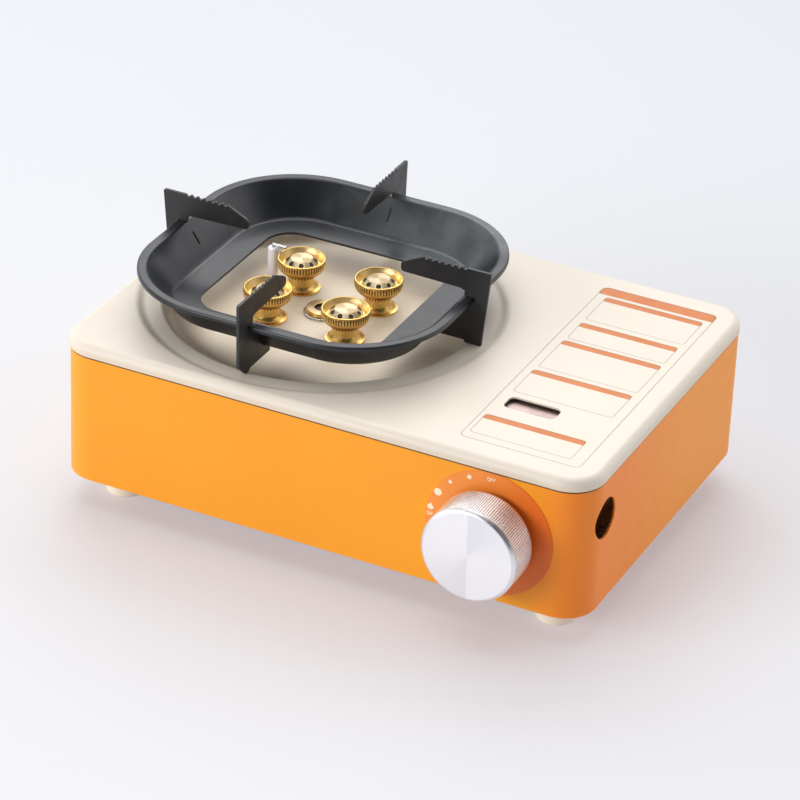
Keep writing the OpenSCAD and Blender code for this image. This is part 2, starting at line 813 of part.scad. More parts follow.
// High-voltage lead from the piezo to the electrode
module ignition_lead() {
    lead_r = 1.6;
    lead_drop = 8.5;
    lead_z = valve_z - lead_drop;
    color("dimgray") place() bent_bar([
        [piezo_x1 - piezo_l, piezo_y, valve_z], [shield_x - 14, piezo_y, valve_z], [shield_x - 26, piezo_y + 8, lead_z],
        [spark_px, piezo_y + 8, lead_z], [spark_px, spark_y, lead_z], [spark_px, spark_y, ceramic_z0 - 1]], lead_r);
}

module piezo_igniter() {
    color("ivory") place() translate([piezo_x1 - piezo_l, piezo_y, valve_z]) rotate([0, 90, 0]) difference() {
        union() {
            cylinder(r = piezo_r, h = piezo_l);
            cylinder(r = piezo_r - 1, h = piezo_l + 1);
        }
        translate([0, 0, piezo_l - plunger_l + 1]) cylinder(r = plunger_r + fit_gap, h = plunger_l + 2);
    }
}

// Post with a saddle that carries the piezo
module piezo_clamp() {
    w = 2 * piezo_r + 0.6;
    color("silver") place() difference() {
        translate([piezo_x1 - piezo_l / 2 - 3, piezo_y - w / 2, base_z1]) cube([6, w, valve_z - base_z1]);
        translate([piezo_x1 - piezo_l - 1, piezo_y, valve_z]) rotate([0, 90, 0]) cylinder(r = piezo_r + run_gap, h = piezo_l + 2);
    }
}

// Plunger with a round nose that the cam pushes
module piezo_plunger() {
    color("firebrick") place() translate([plunger_x1 - plunger_r, piezo_y, valve_z]) {
        rotate([0, -90, 0]) cylinder(r = plunger_r, h = plunger_l - plunger_r);
        intersection() {
            sphere(plunger_r);
            translate([0, -plunger_r, -plunger_r]) cube(2 * plunger_r);
        }
    }
}

// ---------- valve group ----------

module regulator_body() {
    color("silver") place() difference() {
        union() {
            valve_cyl(17, reg_y0, reg_y1);
            valve_cyl(7, reg_y0 - 2, reg_y1);
            valve_cyl(boss_r, reg_y0, bracket_y1 + boss_l);
            translate([valve_x, (reg_y0 + reg_y1) / 2, valve_z]) rotate([0, 90, 0])
                cylinder(r = reg_l / 2, h = reg_w / 2);
            translate([outlet_x, outlet_y, valve_z]) rotate([0, 90, 0]) cylinder(r = 6, h = valve_x - outlet_x);
            translate([outlet_x, outlet_y, valve_z]) sphere(6);
            translate([outlet_x, outlet_y, valve_z]) cylinder(r = 5, h = outlet_z - valve_z);
        }
        valve_cyl(spindle_r + run_gap, reg_y0 - 3, reg_y0 + 21);
        valve_cyl(4.5, bracket_y1 + boss_l - 4, bracket_y1 + boss_l + over);
    }
}

module regulator_cover() {
    color("peru") place() translate([valve_x + reg_w / 2, (reg_y0 + reg_y1) / 2, valve_z]) rotate([0, 90, 0])
        rotate_extrude() polygon(concat([[0, 0], [cover_r, 0], [cover_r, 2], [cover_r - 4, 2]],
            arc(cover_r - 7, cover_l - 3, 3, 0, 90, 4), [[0, cover_l]]));
}

// Screws round the rim of the diaphragm cover
module regulator_screws() {
    color("silver") place() for (a = [45:90:315])
        translate([valve_x + reg_w / 2 + 2, (reg_y0 + reg_y1) / 2, valve_z]) rotate([a, 0, 0])
            translate([0, cover_r - 2, 0]) rotate([0, 90, 0]) cylinder(r = 1.6, h = 1.4);
}

// Upright plate of the bracket that carries the regulator
module valve_bracket() {
    color("gainsboro") place() difference() {
        union() {
            translate([valve_x - bracket_w / 2, reg_y1, base_z1]) cube([bracket_w, bracket_t, valve_z + 9.5 - base_z1]);
            translate([valve_x - bracket_top_w / 2, reg_y1, base_z1])
                cube([bracket_top_w, bracket_t, bracket_top_z - bracket_t - base_z1]);
        }
        valve_cyl(boss_r + fit_gap, reg_y1 - over, bracket_y1 + over);
    }
}

// Flange folded back from the plate's top edge, under the slot in the lid
module bracket_flange() {
    color("gainsboro") place() translate([valve_x - bracket_top_w / 2, reg_y1, bracket_top_z - bracket_t])
        cube([bracket_top_w, bracket_top_l, bracket_t]);
}

// Foot folded forward from the plate's lower edge, on the base plate
module bracket_foot() {
    color("gainsboro") place() translate([valve_x - bracket_foot_w / 2, bracket_y1 - bracket_foot_l, base_z1])
        cube([bracket_foot_w, bracket_foot_l - bracket_t, bracket_t]);
}

// Ring that the cartridge's rim seats on, with the tab that fits its notch
module cartridge_collar() {
    color("silver") place() difference() {
        union() {
            valve_cyl(collar_ro, bracket_y1, bracket_y1 + collar_l);
            translate([valve_x - 3, bracket_y1, valve_z + collar_ro - 2]) cube([6, collar_l + 4, 5]);
        }
        valve_cyl(collar_ri, bracket_y1 - over, bracket_y1 + collar_l + over);
    }
}

module lock_magnets() {
    color("dimgray") place() for (s = [-1, 1])
        translate([s * magnet_off, 0, 0]) valve_cyl(magnet_r, bracket_y1, bracket_y1 + collar_l + 1);
}

// Spindle with the snail cam that drives the piezo
module valve_spindle() {
    cam_top = cam_r + plunger_travel;
    color("silver") place() {
        valve_cyl(spindle_r, knob_y0 + 6, reg_y0 + 20);
        translate([valve_x, cam_y0 + cam_l, valve_z]) rotate([90, 0, 0]) linear_extrude(cam_l) polygon(concat(
            [for (a = [60:10:80]) cam_top * [cos(a), sin(a)]],
            [for (a = [90:5:180]) (cam_r + plunger_travel * (180 - a) / 90) * [cos(a), sin(a)]],
            [for (a = [195:15:405]) cam_r * [cos(a), sin(a)]]));
    }
}

hub_r = 9;
knob_wall = 3.5;
knob_edge = 1;

// Hollow turned knob with its hub, seen in section; y runs from its back to its face
module knob_profile() {
    difference() {
        polygon([[0, 0], [knob_d / 2 - 0.4, 0], [knob_d / 2, 0.4], [knob_d / 2, knob_l - knob_edge],
            [knob_d / 2 - knob_edge, knob_l], [0, knob_l]]);
        translate([hub_r, -over]) square([knob_d / 2 - knob_wall - hub_r, knob_l - knob_wall + over]);
        translate([0, -over]) square([spindle_r + run_gap, knob_l - 6 + over]);
    }
}

module knob() {
    color("lightsteelblue") place() difference() {
        translate([valve_x, knob_y1, valve_z]) rotate([90, 0, 0]) rotate_extrude($fn = 96) knob_profile();
        translate([valve_x, knob_y1 - 5, valve_z - hub_r - 1]) cylinder(r = 2 + 0.05, h = hub_r + 1);
    }
}

module knob_set_screw() {
    color("dimgray") place() translate([valve_x, knob_y1 - 5, valve_z - hub_r + 0.5])
        cylinder(r = 2, h = hub_r - spindle_r - 0.6);
}

// Thin disc behind the knob, clipped at the lid
module dial_plate() {
    color("darkorange") place() difference() {
        valve_cyl(dial_d / 2, front_y - dial_t, front_y);
        valve_cyl(spindle_r + 2, front_y - 1, front_y + 1);
        translate([valve_x - dial_d, front_y - 1, wall_z1 - sheet]) cube([2 * dial_d, 2, dial_d]);
    }
}

// ---------- cartridge bay ----------

// Trough that the cartridge lies in, on two legs and a rib
module cartridge_cradle() {
    leg_a = 52;
    leg_x = (port_r + cradle_t / 2) * cos(leg_a);
    leg_foot = 6;
    r = port_r + cradle_t;
    color("gainsboro") place() translate([valve_x, cradle_y1, 0]) rotate([90, 0, 0]) linear_extrude(cradle_y1 - cradle_y0) {
        translate([0, valve_z]) intersection() {
            difference() {
                circle(r);
                circle(port_r);
            }
            polygon([[0, 0], [2 * r, -2 * r], [-2 * r, -2 * r]]);
        }
        for (s = [-1, 1]) {
            translate([s * leg_x - cradle_t / 2, base_z1])
                square([cradle_t, valve_z - port_r * sin(leg_a) - base_z1 - 0.2]);
            translate([s * (leg_x - leg_foot / 2) - leg_foot / 2, base_z1]) square([leg_foot, cradle_t]);
        }
        translate([-4, base_z1]) square([8, valve_z - r - base_z1 + 0.3]);
    }
}

// Sheet between the burner space and the cartridge bay
module heat_shield() {
    y1 = in_y - rest_gap;
    y2 = body_d / 2 - flange_w - rest_gap;
    color("gainsboro") place() difference() {
        union() {
            translate([shield_x, -y1, base_z1]) cube([sheet, 2 * y1, wall_z1 - sheet - rest_gap - base_z1]);
            translate([shield_x, -y2, base_z1]) cube([sheet, 2 * y2, lid_z - sheet - rest_gap - base_z1]);
            translate([shield_x, -y2, base_z1]) cube([10, 2 * y2, sheet]);
        }
        translate([shield_x - over, 0, mix_z]) rotate([0, 90, 0]) cylinder(r = 4 + fit_gap, h = sheet + 2 * over);
        translate([shield_x - over, piezo_y, valve_z]) rotate([0, 90, 0]) cylinder(r = 3, h = sheet + 2 * over);
        translate([shield_x - over, strip_y - strip_w / 2 - 1, under_z - strip_t - 2])
            cube([sheet + 2 * over, strip_w + 2, lid_z - under_z]);
    }
}

// Strip that carries warmth from the dish to the cartridge, ending in a saddle over it
module heat_conductor() {
    r = port_r + 0.4;
    z0 = under_z - strip_t;
    z1 = valve_z + r;
    x0 = burner_x + burner_px / 2 + lobe_r + 1;
    x1 = shield_x - 10;
    x2 = shield_x + 8;
    color("lightgray") place() translate([0, strip_y + strip_w / 2, 0]) rotate([90, 0, 0]) linear_extrude(strip_w) {
        polygon([[x0, z0], [x1, z0], [x2, z1], [valve_x, z1], [valve_x, z1 + strip_t],
            [x2, z1 + strip_t], [x1, z0 + strip_t], [x0, z0 + strip_t]]);
        translate([valve_x, valve_z]) intersection() {
            difference() {
                circle(r + strip_t);
                circle(r);
            }
            polygon([[0, 0], [r * sin(30), 2 * r * cos(30)], [0, 2 * r], [-2 * r * sin(35), 2 * r * cos(35)]]);
        }
    }
}

// ---------- assembly ----------

wall_front();
wall_left();
wall_rear();
wall_right();
wall_corners();
flange_top();
flange_bottom();
base_plate();
base_screws();
foot_front_left();
foot_front_right();
foot_rear_left();
foot_rear_right();
lid();
tray();
support_front();
support_right();
support_rear();
support_left();
burner_head_fl();
burner_head_fr();
burner_head_rl();
burner_head_rr();
burner_stem_fl();
burner_stem_fr();
burner_stem_rl();
burner_stem_rr();
centre_plug();
centre_washer();
manifold();
mixer_tube();
injector_nozzle();
gas_tube();
electrode_ceramic();
electrode_wire();
electrode_clip();
ignition_lead();
piezo_igniter();
piezo_clamp();
piezo_plunger();
regulator_body();
regulator_cover();
regulator_screws();
valve_bracket();
bracket_flange();
bracket_foot();
cartridge_collar();
lock_magnets();
valve_spindle();
knob();
knob_set_screw();
dial_plate();
cartridge_cradle();
heat_shield();
heat_conductor();
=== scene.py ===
import json
import math

import bpy
from mathutils import Matrix, Vector


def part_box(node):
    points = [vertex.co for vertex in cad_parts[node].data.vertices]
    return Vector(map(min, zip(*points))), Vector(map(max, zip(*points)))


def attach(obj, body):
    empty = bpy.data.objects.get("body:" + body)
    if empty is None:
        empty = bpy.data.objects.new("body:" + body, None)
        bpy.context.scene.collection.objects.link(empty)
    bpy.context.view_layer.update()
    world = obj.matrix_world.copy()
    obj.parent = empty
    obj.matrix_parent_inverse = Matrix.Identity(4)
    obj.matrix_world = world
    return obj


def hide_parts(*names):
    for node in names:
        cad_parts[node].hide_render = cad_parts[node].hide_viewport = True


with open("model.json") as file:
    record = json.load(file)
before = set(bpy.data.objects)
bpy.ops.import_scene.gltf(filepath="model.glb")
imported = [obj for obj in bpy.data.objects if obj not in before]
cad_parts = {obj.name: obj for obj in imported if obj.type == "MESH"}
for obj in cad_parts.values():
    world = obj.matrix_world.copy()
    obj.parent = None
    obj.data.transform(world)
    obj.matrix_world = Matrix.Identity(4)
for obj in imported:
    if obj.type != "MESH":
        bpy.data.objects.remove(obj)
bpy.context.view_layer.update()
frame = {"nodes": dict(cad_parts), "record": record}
node = frame["nodes"]

MM = 0.001
RIGHT, FRONT, UP = Vector((1, 0, 0)), Vector((0, -1, 0)), Vector((0, 0, 1))


def middle(name):
    """Middle of a node's box at rest, in metres."""
    lo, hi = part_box(name)
    return (lo + hi) / 2


def radius_depth(name):
    """Radius and height of an upright turned node, in mm."""
    lo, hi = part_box(name)
    return (hi.x - lo.x) / 2 / MM, (hi.z - lo.z) / MM


def top_middle(name):
    """Middle of the top face of a node's box, in metres."""
    mid = middle(name)
    return Vector((mid.x, mid.y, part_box(name)[1].z))


# The body's own centre in the row frame, on the floor, and the levels of its wall and lid in mm
CENTRE = Vector((middle("wall_corners").x, middle("wall_corners").y, 0))
WALL_Z0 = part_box("wall_corners")[0].z / MM
WALL_Z1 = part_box("wall_corners")[1].z / MM
LID_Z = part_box("lid")[1].z / MM


def at(x, y, z):
    """Body-centred millimetres to the row frame in metres."""
    return CENTRE + Vector((x, y, z)) * MM


# ---------- camera ----------

AZIMUTH, ELEVATION, ROLL = 25.123, 29.811, 2.446  # degrees
DISTANCE = 2072.863  # mm from the target
TARGET = (-4.364, 3.020, WALL_Z0 + 32)  # body-centred mm
FOCAL_PX, FRAME_PX = 3926.25, 800
SENSOR = 36  # mm
CLIP = (0.05, 40)  # m


def make_camera():
    a, e, r = (math.radians(v) for v in (AZIMUTH, ELEVATION, ROLL))
    back = Vector((math.sin(a) * math.cos(e), -math.cos(a) * math.cos(e), math.sin(e)))
    right = (-back).cross(UP).normalized()
    up = right.cross(-back)
    right, up = right * math.cos(r) + up * math.sin(r), up * math.cos(r) - right * math.sin(r)
    data = bpy.data.cameras.new("camera")
    data.sensor_width = SENSOR
    data.lens = FOCAL_PX / FRAME_PX * SENSOR
    data.clip_start, data.clip_end = CLIP
    cam = bpy.data.objects.new("camera", data)
    bpy.context.scene.collection.objects.link(cam)
    m = Matrix((right, up, back)).transposed().to_4x4()
    m.translation = at(*TARGET) + back * DISTANCE * MM
    cam.matrix_world = m
    bpy.context.scene.camera = cam


make_camera()

# ---------- material tools ----------


def rgb(r, g, b):
    """sRGB 0-255 to linear, with alpha."""
    def f(c):
        c /= 255
        return c / 12.92 if c <= 0.04045 else ((c + 0.055) / 1.055) ** 2.4
    return (f(r), f(g), f(b), 1)


class Nodes:
    """Short calls for the nodes that a material or the world needs."""

    def __init__(self, tree):
        self.t = tree

    def add(self, kind, **props):
        n = self.t.nodes.new(kind)
        for k, v in props.items():
            setattr(n, k, v)
        return n

    def put(self, socket, value):
        if isinstance(value, bpy.types.NodeSocket):
            self.t.links.new(value, socket)
        else:
            socket.default_value = value

    def math(self, op, *values):
        n = self.add("ShaderNodeMath", operation=op)
        for socket, value in zip(n.inputs, values):
            self.put(socket, value)
        return n.outputs[0]

    def span(self, value, lo, hi, a=0.0, b=1.0, smooth=True):
        """value from lo..hi to a..b."""
        n = self.add("ShaderNodeMapRange", interpolation_type="SMOOTHSTEP" if smooth else "LINEAR")
        self.put(n.inputs["Value"], value)
        for k, v in (("From Min", lo), ("From Max", hi), ("To Min", a), ("To Max", b)):
            n.inputs[k].default_value = v
        return n.outputs["Result"]

    def mix(self, fac, a, b):
        n = self.add("ShaderNodeMix", data_type="RGBA")
        self.put(n.inputs[0], fac)
        self.put(n.inputs[6], a)
        self.put(n.inputs[7], b)
        return n.outputs[2]

    def split(self, vector):
        s = self.add("ShaderNodeSeparateXYZ")
        self.put(s.inputs[0], vector)
        return s.outputs[0], s.outputs[1], s.outputs[2]

    def dot(self, vector, direction):
        n = self.add("ShaderNodeVectorMath", operation="DOT_PRODUCT")
        self.put(n.inputs[0], vector)
        n.inputs[1].default_value = Vector(direction).normalized()
        return n.outputs["Value"]


class Mat(Nodes):
    """A node material round one Principled shader. Depths of its bumps are in mm."""

    def __init__(self, name):
        self.m = bpy.data.materials.new(name)
        self.m.use_nodes = True
        super().__init__(self.m.node_tree)
        self.shader = self.t.nodes["Principled BSDF"]
        self.coord = self.add("ShaderNodeTexCoord").outputs["Object"]

    def set(self, **values):
        for k, v in values.items():
            self.put(self.shader.inputs[k.replace("_", " ")], v)
        return self

    def noise(self, scale, detail, rough=0.55):
        n = self.add("ShaderNodeTexNoise")
        self.put(n.inputs["Vector"], self.coord)
        for k, v in (("Scale", scale), ("Detail", detail), ("Roughness", rough)):
            n.inputs[k].default_value = v
        return n.outputs["Fac"]

    def turned_noise(self, scale, detail, r, z=None):
        """Noise that is the same all the way round the axis, as tool marks are."""
        n = self.add("ShaderNodeTexNoise", noise_dimensions="2D" if z else "1D")
        if z:
            v = self.add("ShaderNodeCombineXYZ")
            self.put(v.inputs[0], r)
            self.put(v.inputs[1], z)
            self.put(n.inputs["Vector"], v.outputs[0])
        else:
            self.put(n.inputs["W"], r)
        n.inputs["Scale"].default_value = scale
        n.inputs["Detail"].default_value = detail
        return n.outputs["Fac"]

    def spread(self, noise, a=0.0, b=1.0):
        """The range that a noise mostly stays in, to a..b."""
        return self.span(noise, 0.3, 0.7, a, b)

    def clouded(self, scale, detail, dark, light):
        """Two close colours in slow patches."""
        return self.mix(self.spread(self.noise(scale, detail)), dark, light)

    def gloss(self, scale, detail, low, high):
        """Roughness that wanders from low to high."""
        return self.set(Roughness=self.spread(self.noise(scale, detail), low, high))

    def bump(self, height, strength, depth, under=None):
        n = self.add("ShaderNodeBump")
        n.inputs["Strength"].default_value = strength
        n.inputs["Distance"].default_value = depth * MM
        self.put(n.inputs["Height"], height)
        if under:
            self.put(n.inputs["Normal"], under)
        return n.outputs["Normal"]

    def skin(self, scale, detail, strength, depth, under=None):
        """Fine unevenness of a coat or a cast face."""
        return self.set(Normal=self.bump(self.noise(scale, detail), strength, depth, under))

    def xyz(self, origin=(0, 0, 0)):
        """Object coordinates from an origin in metres, as three sockets."""
        v = self.add("ShaderNodeVectorMath", operation="SUBTRACT")
        self.put(v.inputs[0], self.coord)
        v.inputs[1].default_value = origin
        return self.split(v.outputs[0])

    def radius(self, a, b):
        squares = [self.math("MULTIPLY", v, v) for v in (a, b)]
        return self.math("SQRT", self.math("ADD", *squares))


# ---------- materials ----------

HEAD_RIBS, RING_TEETH, GAS_HOLES = 52, 32, 8  # round one burner head
KNURL_N, KNURL_ROWS, KNURL_DEPTH = 130, 13, 0.34  # diamonds round and along the knob, mm deep


def knob_size():
    """Diameter and length of the knob in mm."""
    lo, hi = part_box("knob")
    s = (hi - lo) / MM
    return s.x, s.y


KNOB_D, KNOB_L = knob_size()


def coated(name, dark, light, rough, patches=14, **shader):
    """Paint, enamel or plastic: slow colour drift, uneven gloss and a fine skin."""
    m = Mat(name)
    m.set(Base_Color=m.clouded(patches, 4, dark, light))
    m.gloss(120, 3, rough - 0.05, rough + 0.05)
    m.skin(900, 2, 0.25, 0.04)
    return m.set(**shader)


def metal(name, dark, light, rough, grain=700, depth=0.02):
    """Bare metal: colour clouding, fine grain and uneven polish."""
    m = Mat(name)
    m.set(Base_Color=m.clouded(40, 4, dark, light), Metallic=1.0)
    fine = m.noise(grain, 3)
    m.set(Roughness=m.spread(fine, rough - 0.06, rough + 0.06))
    return m.set(Normal=m.bump(fine, 0.3, depth))


def body_paint():
    """Satin powder coat, with painted shade: a deeper orange round the right corner for the dark
    reflection there, and a painted shadow in the seam under the lid.
    """
    m = Mat("body_paint")
    paint = m.clouded(11, 4, rgb(249, 158, 10), rgb(250, 161, 12))
    x, y, z = m.xyz(CENTRE)
    # painted shade: deeper, darker orange round the right corner, towards the front, for the dark
    # reflection it shows
    corner_shade = m.math("MULTIPLY", m.span(x, 0.108, 0.145), m.span(y, -0.1, 0.05, 1.0, 0.3))
    paint = m.mix(corner_shade, paint, rgb(244, 132, 4))
    # painted shadow: a dark band along the top of the wall, in the seam under the lid
    seam_shadow = m.span(z, (WALL_Z1 - 1.3) * MM, (WALL_Z1 - 0.8) * MM)
    m.set(Base_Color=m.mix(seam_shadow, paint, rgb(84, 44, 12)))
    m.gloss(120, 3, 0.4, 0.48)
    return m.skin(1100, 2, 0.25, 0.04)


def dial_paint():
    """Satin orange of the dial plate, painted deeper and darker towards its right as the knob's
    shade.
    """
    m = Mat("dial_paint")
    x = m.xyz(middle("dial_plate"))[0]
    uneven = m.spread(m.noise(60, 3), -0.05, 0.05)
    # painted shade: the knob's shadow, as deeper, darker orange towards the right of the plate
    painted_light_tone = m.math("ADD", m.span(x, -0.012, 0.034), uneven)
    m.set(Base_Color=m.mix(painted_light_tone, rgb(247, 146, 56), rgb(234, 104, 14)))
    m.gloss(120, 3, 0.38, 0.46)
    return m.skin(1000, 2, 0.25, 0.04)


def lid_enamel():
    """Satin cream enamel, painted yellower and darker where the lid is drawn down into the dish, as
    the warm shade under the tray.
    """
    m = Mat("lid_enamel")
    cream = m.clouded(9, 4, rgb(223, 213, 198), rgb(226, 216, 202))
    z = m.xyz()[2]
    # painted shade: the dish under the tray is made yellower and darker, for its warm shade
    deep = m.span(z, (LID_Z - 3.5) * MM, (LID_Z - 5.8) * MM, smooth=False)
    m.set(Base_Color=m.mix(m.math("MULTIPLY", deep, 0.55), cream, rgb(226, 205, 172)))
    m.gloss(60, 3, 0.4, 0.44)
    return m.skin(500, 1, 0.1, 0.02)


def tray_coat():
    """Dark satin coat on slightly wavy sheet, with a painted reflection: paler patches on the right
    part of the rear wall.
    """
    m = Mat("tray_coat")
    x, y, _ = m.xyz(middle("tray"))
    base = m.mix(m.span(m.noise(30, 5), 0.35, 0.65), rgb(19, 23, 29), rgb(23, 27, 33))
    # painted reflection: paler patches on the right part of the rear wall, for the bright left of
    # the tent seen in it
    rear_wall_reflection = m.math("MULTIPLY", m.span(x, -0.03, 0.03), m.span(y, 0.045, 0.06))
    patchy = m.spread(m.noise(45, 5, 0.65), 0.5, 1.0)
    m.set(Base_Color=m.mix(m.math("MULTIPLY", rear_wall_reflection, patchy), base, rgb(82, 88, 92)))
    m.gloss(80, 4, 0.28, 0.35)
    m.set(Specular_IOR_Level=0.5)
    wave = m.bump(m.noise(16, 1), 0.6, 1.2)
    return m.skin(1300, 2, 0.3, 0.04, wave)


def knob_face():
    """Turned aluminium: fine circles, and the two opposed sweeps of light that they throw, painted
    into its colour as highlights.
    """
    m = Mat("knob_face")
    x, y, _ = m.xyz()
    r = m.radius(x, y)
    from_top = m.math("SUBTRACT", math.pi / 2, m.math("ARCTAN2", y, x))
    turn = m.math("FRACT", m.math("DIVIDE", from_top, math.pi))
    # painted highlights: a lighter band over each half turn of the face
    painted_sweep = m.span(turn, 0.0, 0.55)
    painted_sweep = m.math("MULTIPLY", painted_sweep, m.span(turn, 1.0, 0.985))
    fine = m.turned_noise(5200, 3, r)
    painted_light_tone = m.math("ADD", painted_sweep, m.spread(fine, -0.12, 0.12))
    m.set(Base_Color=m.mix(painted_light_tone, rgb(238, 238, 243), rgb(252, 252, 255)), Metallic=1.0)
    m.set(Roughness=m.spread(fine, 0.3, 0.42))
    return m.set(Normal=m.bump(fine, 0.15, 0.01))


def knob_knurl():
    """Rolled diamonds: bright worn tips, and bottoms painted dull and dark as the shade in the
    grooves.
    """
    m = Mat("knob_knurl")
    x, y, _ = m.xyz()
    r = KNOB_D / 2
    tip = m.span(m.radius(x, y), (r - KNURL_DEPTH) * MM, (r - 0.2) * MM)
    worn = m.clouded(90, 3, rgb(240, 238, 240), rgb(250, 249, 251))
    # worn tips are wear; the dark bottoms are painted shade in the grooves
    m.set(Base_Color=m.mix(tip, rgb(150, 136, 130), worn), Metallic=1.0)
    return m.gloss(700, 2, 0.26, 0.36)


def brass(name, dark, light, rough, ribs=0, groove=None, wedges=0.0):
    """Turned brass with tool marks round its axis and colour that clouds slightly.

    ribs paints that many grooves round it darker, as painted shade, and wedges is how much two
    opposed wedges of a turned face are dulled, as a painted reflection, both towards the colour
    groove.
    """
    m = Mat(name)
    x, y, z = m.xyz()
    fine = m.turned_noise(2600, 2, m.radius(x, y), z)
    colour = m.clouded(260, 4, dark, light)
    around = m.math("ARCTAN2", y, x)
    if ribs:
        # painted shade in the grooves between the ribs
        painted_groove_shade = m.span(m.math("COSINE", m.math("MULTIPLY", around, ribs)), 0.1, -0.7)
        colour = m.mix(painted_groove_shade, colour, groove)
    if wedges:
        # painted reflection: two opposed wedges of the turned face dulled
        turn = m.math("COSINE", m.math("MULTIPLY_ADD", around, 2.0, 0.6))
        colour = m.mix(m.math("MULTIPLY", m.span(turn, -0.4, 1.0), wedges), colour, groove)
    m.set(Base_Color=colour, Metallic=1.0)
    m.set(Roughness=m.spread(fine, rough - 0.05, rough + 0.07))
    return m.set(Normal=m.bump(fine, 0.2, 0.012))


def brass_under():
    """Underside of a head: the same brass, painted browner from below the ribbed band downwards, as
    a dark reflection.
    """
    m = Mat("brass_under")
    # painted reflection: darker colour from below the ribbed band down, over the underside's bulge
    painted_dark_band = m.span(m.xyz()[2], -0.0042, -0.0066)
    dark_reflection_colour = m.clouded(300, 4, rgb(158, 104, 40), rgb(176, 120, 50))
    m.set(Base_Color=m.mix(painted_dark_band, rgb(226, 182, 104), dark_reflection_colour), Metallic=1.0)
    m.gloss(900, 2, 0.26, 0.34)
    return m.skin(1400, 2, 0.2, 0.01)


# name: dark colour, light colour, roughness, scale of the colour patches
COATED = {
    "support_coat": (rgb(34, 33, 35), rgb(42, 41, 43), 0.42, 30),
    "gas_bore": (rgb(22, 12, 6), rgb(34, 20, 10), 0.6, 300),
    "bore_soot": (rgb(72, 38, 18), rgb(84, 46, 24), 0.5, 60),
    "foot_plastic": (rgb(238, 228, 208), rgb(244, 236, 218), 0.5),
    "print_cream": (rgb(250, 236, 204), rgb(252, 240, 212), 0.45),
    "print_orange": (rgb(200, 108, 26), rgb(206, 114, 32), 0.42, 40),
    "print_line": (rgb(140, 132, 122), rgb(150, 142, 132), 0.45),
    "lead_rubber": (rgb(40, 40, 42), rgb(50, 50, 52), 0.6),
    "igniter_plastic": (rgb(226, 222, 208), rgb(234, 230, 218), 0.45),
    "plunger_plastic": (rgb(170, 40, 30), rgb(186, 50, 40), 0.45),
    "magnet": (rgb(44, 44, 48), rgb(56, 56, 60), 0.6),
}
METAL = {  # name: dark colour, light colour, roughness, scale of the grain, its depth in mm
    "plain_steel": (rgb(176, 176, 178), rgb(200, 200, 202), 0.28),
    "galvanised": (rgb(150, 132, 128), rgb(176, 156, 150), 0.42),
    "cast_aluminium": (rgb(170, 170, 172), rgb(190, 190, 192), 0.5, 400, 0.1),
    "copper_pipe": (rgb(170, 110, 70), rgb(190, 130, 90), 0.35),
    "knob_metal": (rgb(232, 232, 236), rgb(242, 242, 246), 0.34),
}
BRASS = {  # name: dark colour, light colour, roughness, ribs, colour of the painted shade in the grooves and wedges, strength of the painted wedges of reflection
    "brass": (rgb(216, 174, 96), rgb(230, 192, 116), 0.3),
    # paler copy of the brass: painted light on the lit inner wall of the bowl and round the gas
    # holes
    "brass_bowl": (rgb(250, 226, 164), rgb(255, 236, 184), 0.36),
    "brass_face": (rgb(192, 174, 142), rgb(206, 190, 160), 0.4, 0, rgb(154, 132, 98), 0.8),
    "brass_ribs": (rgb(232, 196, 122), rgb(242, 210, 142), 0.28, HEAD_RIBS, rgb(96, 60, 16)),
    "brass_teeth": (rgb(232, 192, 112), rgb(242, 206, 132), 0.28, RING_TEETH, rgb(96, 58, 16)),
}
M = {name: kind(name, *row)
     for kind, table in ((coated, COATED), (metal, METAL), (brass, BRASS))
     for name, row in table.items()}
M["ceramic"] = coated("ceramic", rgb(248, 246, 250), rgb(253, 252, 254), 0.2, Coat_Weight=0.4)
for special in (body_paint, dial_paint, lid_enamel, tray_coat, knob_face, knob_knurl, brass_under):
    M[special.__name__] = special()

slot_of = {s["node"]: s["material_slot"] for s in frame["record"]["subparts"]}
for name, obj in node.items():
    obj.data.materials.clear()
    obj.data.materials.append(M[slot_of[name]].m)

# Thin bright edges on the plates and on the tray's rim, in mm
EDGES = {"support_front": 0.3, "support_right": 0.3, "support_rear": 0.3, "support_left": 0.3,
         "tray": 0.2}
EDGE_ANGLE = math.radians(35)
for name, width in EDGES.items():
    node[name].modifiers.new("weld", "WELD").merge_threshold = 0.01 * MM
    bevel = node[name].modifiers.new("edge", "BEVEL")
    bevel.width, bevel.segments = width * MM, 2
    bevel.limit_method, bevel.angle_limit = "ANGLE", EDGE_ANGLE

# ---------- turned pieces ----------


def make(name, verts, faces, mats, where=None, turn=None, smooth=True, tags=None):
    """A mesh object from lists; tags gives a material number for each face."""
    me = bpy.data.meshes.new(name)
    me.from_pydata(verts, [], faces)
    for i, f in enumerate(me.polygons):
        f.use_smooth = smooth
        f.material_index = tags[i] if tags else 0
    for m in mats:
        me.materials.append(M[m].m)
    o = bpy.data.objects.new(name, me)
    bpy.context.scene.collection.objects.link(o)
    if turn:
        o.rotation_euler = turn
    if where is not None:
        o.location = where
    return o


def stands_for(piece, name, body):
    """The piece rides on a body and replaces a CAD node."""
    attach(piece, body)
    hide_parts(name)


def on_circle(r, a):
    return r * math.cos(a), r * math.sin(a)


def arc(cx, cy, r, a0, a1, n=6):
    """Points of an arc from angle a0 to a1 in degrees."""
    return [(cx + r * math.cos(math.radians(a0 + (a1 - a0) * i / n)),
             cy + r * math.sin(math.radians(a0 + (a1 - a0) * i / n))) for i in range(n + 1)]


def ribbed(count):
    """Wave round an axis: 0 on each rib, 1 in each groove."""
    return lambda a: 0.5 - 0.5 * math.cos(a * count)


